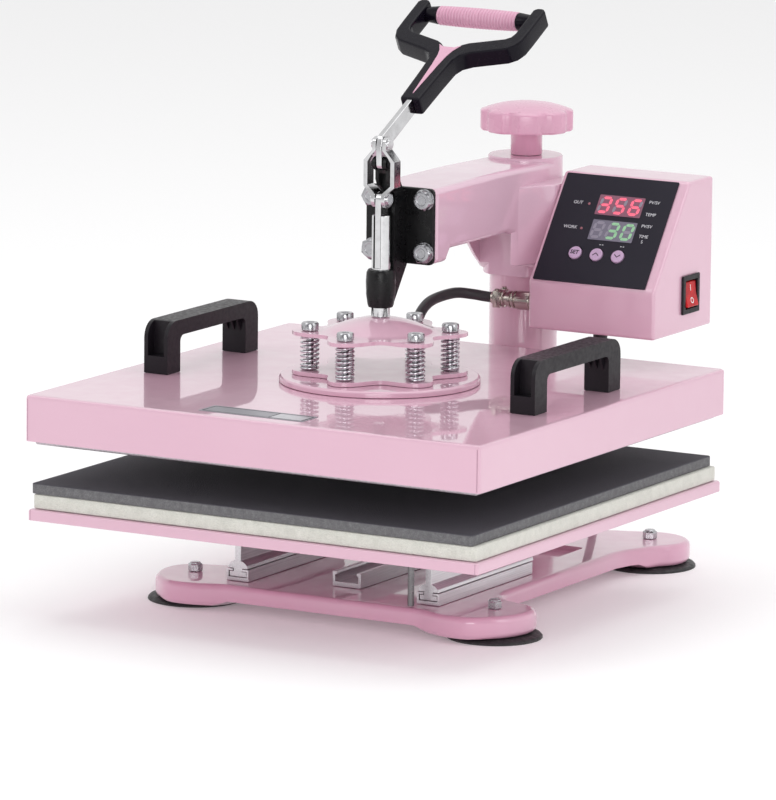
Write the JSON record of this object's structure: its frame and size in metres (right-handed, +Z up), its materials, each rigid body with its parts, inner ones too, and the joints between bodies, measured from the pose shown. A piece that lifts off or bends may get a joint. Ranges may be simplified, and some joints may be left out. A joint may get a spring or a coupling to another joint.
{
  "type": "heat press",
  "caption": "Swing-away flat heat press with toggle lever, sprung upper platen, slide-out padded lower platen, control box and pressure knob on a column.",
  "frame": {"origin": "centre of the press's footprint on the bench, between the extreme front of the upper platen and the back edge of the rear feet, at the underside of the feet", "axes": "+X to the operator's right, +Y from the operator to the column at the back, +Z up"},
  "size_m": [0.392, 0.5925, 0.4481],
  "materials": {
    "pink_paint": "glossy powder coat",
    "pink_plastic": "satin moulding",
    "black_plastic": "satin moulding",
    "black_paint": "black enamel on a casting",
    "panel_film": "dark printed film",
    "chrome": "bright plating",
    "steel": "zinc plated",
    "aluminium": "mill finish",
    "nickel": "nickel plated brass",
    "felt": "pressed cream felt",
    "foam_rubber": "fine-celled silicone sponge",
    "rubber": "matt",
    "cord_sheath": "satin sheath",
    "grip_wrap": "ribbed soft sleeve",
    "lilac_button": "satin moulding",
    "red_rocker": "gloss moulding",
    "board": "solder mask",
    "ceramic_board": "glass-fibre blanket"
  },
  "bodies": {
    "stand": {"base_plate": "pink_paint", "foot_front_left": "rubber", "foot_front_right": "rubber", "foot_back_left": "rubber", "foot_back_right": "rubber", "column": "pink_paint", "rail_left": "aluminium", "rail_right": "aluminium", "rail_center": "aluminium", "power_cord_floor": "cord_sheath", "power_cord_coil": "cord_sheath", "power_plug": "rubber"},
    "drawer": {"lower_tray": "pink_paint", "felt_pad": "felt", "foam_pad": "foam_rubber", "slider_left": "aluminium", "slider_right": "aluminium", "stop_pin": "steel"},
    "turret": {"swivel_bush": "steel"},
    "arm": {"arm_casting": "pink_paint", "toggle_bracket": "black_paint", "bracket_bolt_1": "steel", "bracket_bolt_2": "steel", "bracket_bolt_3": "steel", "bracket_bolt_4": "steel", "control_box": "pink_paint", "control_panel": "panel_film", "circuit_board": "board", "switch_bezel": "black_plastic", "heater_connector": "nickel", "cord_gland": "rubber", "power_cord_drop": "cord_sheath"},
    "button_set": {"button_set": "lilac_button"},
    "button_up": {"button_up": "lilac_button"},
    "button_down": {"button_down": "lilac_button"},
    "rocker": {"rocker": "red_rocker"},
    "knob": {"pressure_knob": "pink_plastic", "knob_screw": "steel"},
    "handle": {"lever_bar": "chrome", "handle_fork": "black_plastic", "grip": "grip_wrap", "lever_pin": "black_paint"},
    "links": {"link_left": "chrome", "link_right": "chrome"},
    "head": {"head_housing": "pink_paint", "heat_plate": "aluminium", "insulation_board": "ceramic_board", "carry_handle_left": "black_plastic", "carry_handle_right": "black_plastic", "spring_disc": "pink_paint", "stud_plate": "pink_paint", "heater_lead": "cord_sheath", "pressure_spring_1": "chrome", "pressure_spring_2": "chrome", "pressure_spring_3": "chrome", "pressure_spring_4": "chrome", "pressure_spring_5": "chrome", "pressure_spring_6": "chrome"},
    "plunger": {"plunger_rod": "chrome", "spring_plate": "pink_paint"}
  },
  "joints": [
    {"name": "drawer_slide", "type": "slide", "parent": "stand", "child": "drawer", "axis": [0, -1, 0], "range_m": [0, 0.1]},
    {"name": "arm_swing", "type": "hinge", "parent": "stand", "child": "turret", "pos_m": [0, 0.1822, 0.286], "axis": [0, 0, 1], "range_deg": [-30, 110]},
    {"name": "arm_lift", "type": "slide", "parent": "turret", "child": "arm", "axis": [0, 0, 1], "range_m": [-0.001, 0.004]},
    {"name": "knob_turn", "type": "hinge", "parent": "arm", "child": "knob", "pos_m": [0, 0.1822, 0.3375], "axis": [0, 0, 1], "range_deg": [-180.2, 720.2]},
    {"name": "handle_turn", "type": "hinge", "parent": "arm", "child": "handle", "pos_m": [0, -0.0458, 0.3427], "axis": [1, 0, 0], "range_deg": [0, 155]},
    {"name": "link_turn", "type": "hinge", "parent": "handle", "child": "links", "pos_m": [0, -0.0458, 0.3577], "axis": [1, 0, 0], "range_deg": [-146.45, 0]},
    {"name": "platen_slide", "type": "slide", "parent": "arm", "child": "head", "axis": [0, 0, -1], "range_m": [0, 0.02815]},
    {"name": "pressure_float", "type": "slide", "parent": "head", "child": "plunger", "axis": [0, 0, -1], "range_m": [0, 0.004], "stiffness_N_per_m": 20000, "springref_m": -0.002, "deforming": ["pressure_spring_1", "pressure_spring_2", "pressure_spring_3", "pressure_spring_4", "pressure_spring_5", "pressure_spring_6"]},
    {"name": "rocker_turn", "type": "hinge", "parent": "arm", "child": "rocker", "pos_m": [0.1557, 0.163, 0.2278], "axis": [0, 1, 0], "range_deg": [0, 17]},
    {"name": "button_set_press", "type": "slide", "parent": "arm", "child": "button_set", "axis": [0, 0.8095, -0.5872], "range_m": [0, 0.0008], "stiffness_N_per_m": 900, "springref_m": -0.0006},
    {"name": "button_up_press", "type": "slide", "parent": "arm", "child": "button_up", "axis": [0, 0.8095, -0.5872], "range_m": [0, 0.0008], "stiffness_N_per_m": 900, "springref_m": -0.0006},
    {"name": "button_down_press", "type": "slide", "parent": "arm", "child": "button_down", "axis": [0, 0.8095, -0.5872], "range_m": [0, 0.0008], "stiffness_N_per_m": 900, "springref_m": -0.0006}
  ],
  "couplings": [
    {"joint": "knob_turn", "follows": "arm_lift", "rad_per_m": 3141.6},
    {"joint": "link_turn", "follows": "handle_turn", "ratio": -0.94453},
    {"joint": "platen_slide", "follows": "handle_turn", "m_per_rad": 0.010394}
  ]
}
